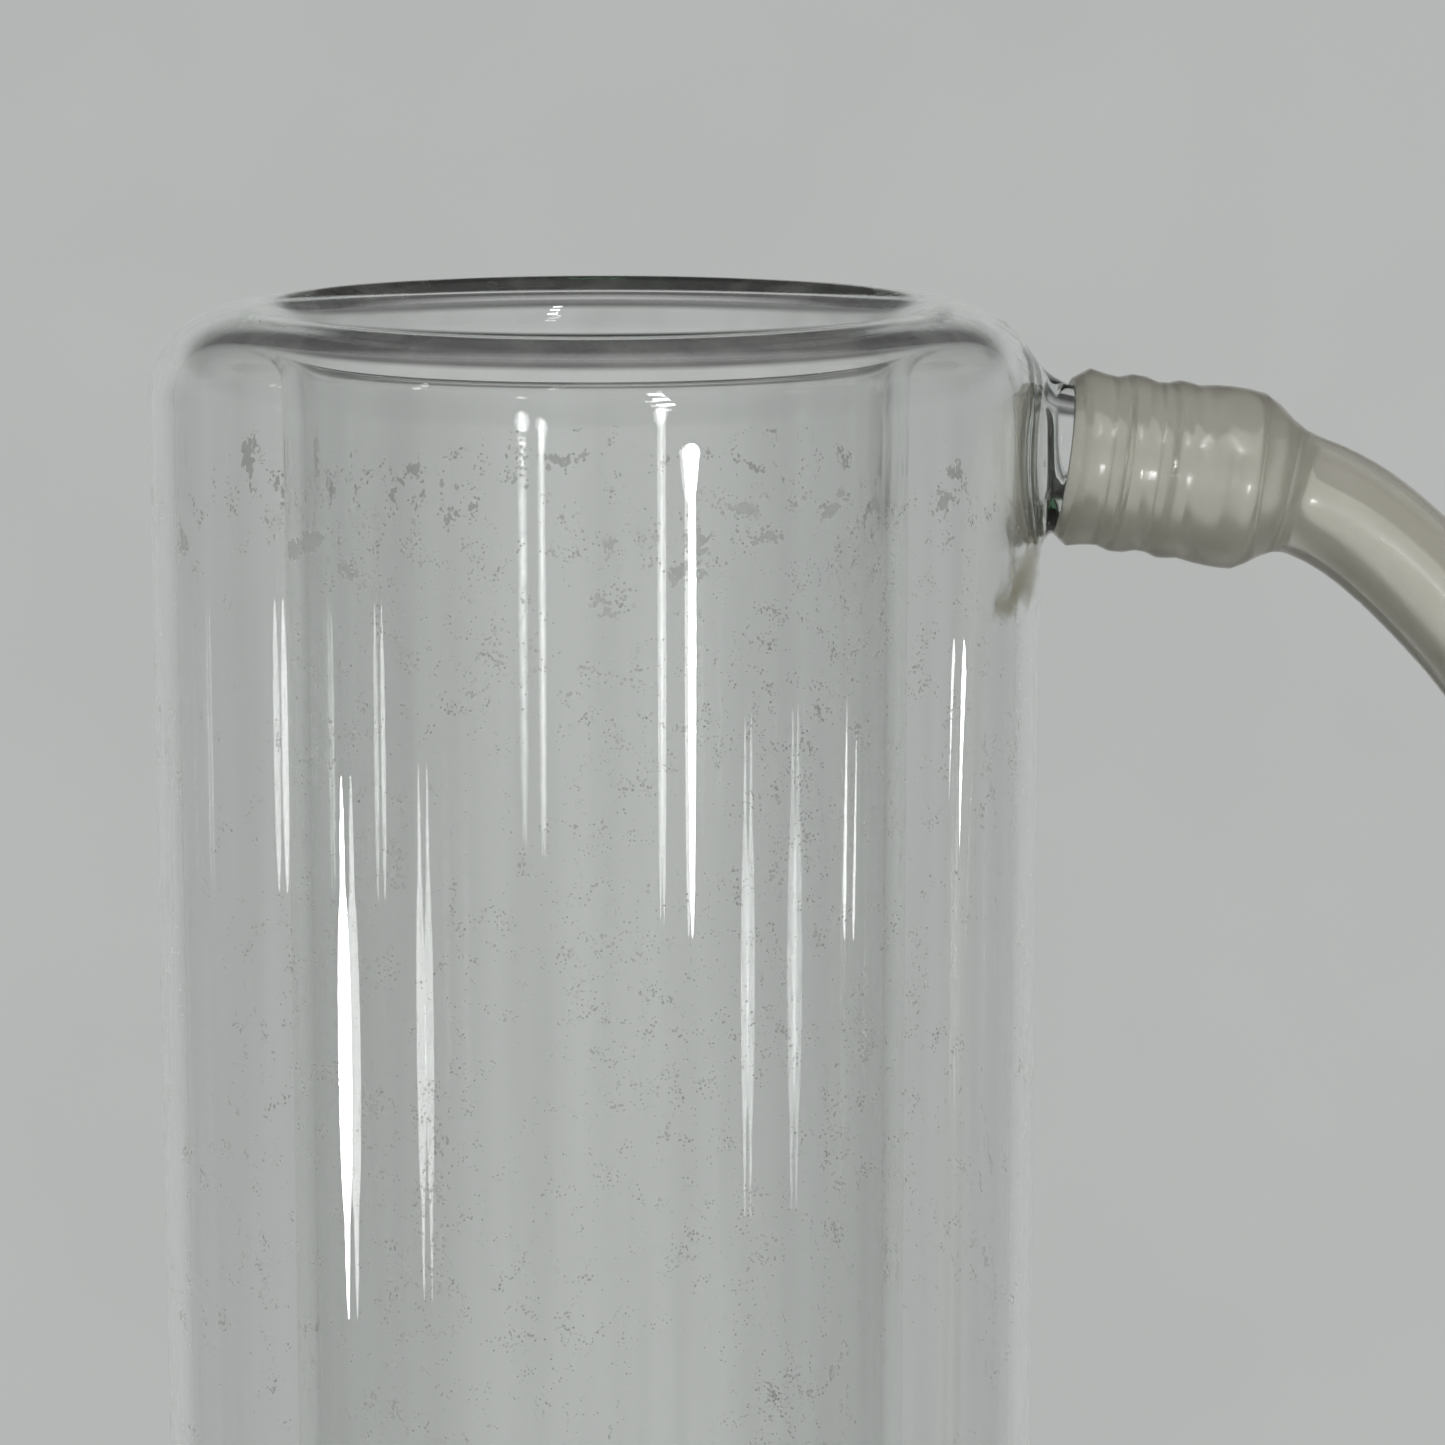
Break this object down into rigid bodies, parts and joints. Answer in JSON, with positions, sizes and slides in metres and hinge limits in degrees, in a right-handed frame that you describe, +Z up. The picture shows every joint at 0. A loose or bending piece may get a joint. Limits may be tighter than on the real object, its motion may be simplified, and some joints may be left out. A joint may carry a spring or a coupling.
{
  "type": "soxhlet extractor",
  "caption": "Glass extractor on a rod stand: round flask, siphoning chamber with thimble, and wide-bore water-jacketed condenser with a rolled rim and a hose on its upper nipple.",
  "frame": {"origin": "on the bench under the base plate, straight below the axis of the glassware", "axes": "+Z up along the glassware's axis; +X towards the condenser's hose nipples; +Y towards the support rod"},
  "size_m": [0.262, 0.25, 0.76],
  "materials": {
    "hammered_enamel": "hammered enamel on cast iron",
    "plated_steel": "bright nickel plate",
    "cast_alloy": "tumbled die casting",
    "cork": "cork sheet",
    "clear_glass": "clear, with dried water marks",
    "ground_glass": "clear with a ground taper",
    "ceramic": "porous unglazed ceramic",
    "filter_paper": "pressed cellulose",
    "cotton": "loose cotton wool",
    "silicone": "translucent, slightly yellowed"
  },
  "bodies": {
    "root": {"base_plate": "hammered_enamel", "support_rod": "plated_steel", "rod_washer": "plated_steel", "rod_nut": "plated_steel", "hose_coil": "silicone"},
    "lower_carriage": {"lower_boss_head": "cast_alloy", "lower_clamp_arm": "plated_steel", "lower_fixed_jaw": "cast_alloy", "lower_jaw_pin": "plated_steel", "lower_fixed_pad": "cork", "flask_bulb": "clear_glass", "flask_neck_tube": "clear_glass", "boiling_stones": "ceramic"},
    "lower_jaw": {"lower_moving_jaw": "cast_alloy", "lower_moving_pad": "cork"},
    "lower_jaw_thumbscrew": {"lower_jaw_screw": "plated_steel"},
    "lower_rod_thumbscrew": {"lower_boss_rod_screw": "plated_steel"},
    "lower_arm_thumbscrew": {"lower_boss_arm_screw": "plated_steel"},
    "extractor": {"extractor_stem": "clear_glass", "extractor_chamber": "clear_glass", "extractor_socket": "ground_glass", "vapour_arm": "clear_glass", "siphon_tube": "clear_glass"},
    "thimble_body": {"thimble": "filter_paper", "wool_plug": "cotton"},
    "upper_carriage": {"upper_boss_head": "cast_alloy", "upper_clamp_arm": "plated_steel", "upper_fixed_jaw": "cast_alloy", "upper_jaw_pin": "plated_steel", "upper_fixed_pad": "cork", "condenser_jacket": "clear_glass", "condenser_inner_tube": "clear_glass", "condenser_cone": "ground_glass", "outlet_nipple": "clear_glass", "inlet_nipple": "clear_glass", "hose_sleeve": "silicone", "outlet_hose": "silicone"},
    "upper_jaw": {"upper_moving_jaw": "cast_alloy", "upper_moving_pad": "cork"},
    "upper_jaw_thumbscrew": {"upper_jaw_screw": "plated_steel"},
    "upper_rod_thumbscrew": {"upper_boss_rod_screw": "plated_steel"},
    "upper_arm_thumbscrew": {"upper_boss_arm_screw": "plated_steel"}
  },
  "joints": [
    {"name": "upper_boss_slide", "type": "slide", "parent": "root", "child": "upper_carriage", "axis": [0, 0, 1], "range_m": [0, 0.042], "deforming": ["outlet_hose"]},
    {"name": "lower_boss_slide", "type": "slide", "parent": "root", "child": "lower_carriage", "axis": [0, 0, 1], "range_m": [-0.06, 0]},
    {"name": "extractor_turn", "type": "hinge", "parent": "lower_carriage", "child": "extractor", "pos_m": [0, 0, 0.234], "axis": [0, 0, 1], "range_deg": [-180, 180]},
    {"name": "thimble_lift", "type": "slide", "parent": "extractor", "child": "thimble_body", "axis": [0, 0, 1], "range_m": [0, 0.1]},
    {"name": "lower_jaw_screw_travel", "type": "slide", "parent": "lower_carriage", "child": "lower_jaw_thumbscrew", "axis": [1, 0, 0], "range_m": [0, 0.0073]},
    {"name": "lower_jaw_swing", "type": "hinge", "parent": "lower_carriage", "child": "lower_jaw", "pos_m": [0.0055, 0.0428, 0.228], "axis": [0, 0, 1], "range_deg": [0, 18]},
    {"name": "lower_rod_screw_turn", "type": "hinge", "parent": "lower_carriage", "child": "lower_rod_thumbscrew", "pos_m": [-0.0283, 0.105, 0.228], "axis": [-1, 0, 0], "range_deg": [-720, 720]},
    {"name": "lower_arm_screw_turn", "type": "hinge", "parent": "lower_carriage", "child": "lower_arm_thumbscrew", "pos_m": [0.0053, 0.105, 0.228], "axis": [1, 0, 0], "range_deg": [-720, 720]},
    {"name": "upper_jaw_screw_travel", "type": "slide", "parent": "upper_carriage", "child": "upper_jaw_thumbscrew", "axis": [1, 0, 0], "range_m": [0, 0.0073]},
    {"name": "upper_jaw_swing", "type": "hinge", "parent": "upper_carriage", "child": "upper_jaw", "pos_m": [0.0055, 0.05515, 0.545], "axis": [0, 0, 1], "range_deg": [0, 18]},
    {"name": "upper_rod_screw_turn", "type": "hinge", "parent": "upper_carriage", "child": "upper_rod_thumbscrew", "pos_m": [-0.0283, 0.105, 0.545], "axis": [-1, 0, 0], "range_deg": [-720, 720]},
    {"name": "upper_arm_screw_turn", "type": "hinge", "parent": "upper_carriage", "child": "upper_arm_thumbscrew", "pos_m": [0.0053, 0.105, 0.545], "axis": [1, 0, 0], "range_deg": [-720, 720]}
  ],
  "couplings": [
    {"joint": "lower_jaw_screw_travel", "follows": "lower_jaw_swing", "m_per_rad": 0.023},
    {"joint": "upper_jaw_screw_travel", "follows": "upper_jaw_swing", "m_per_rad": 0.023}
  ]
}
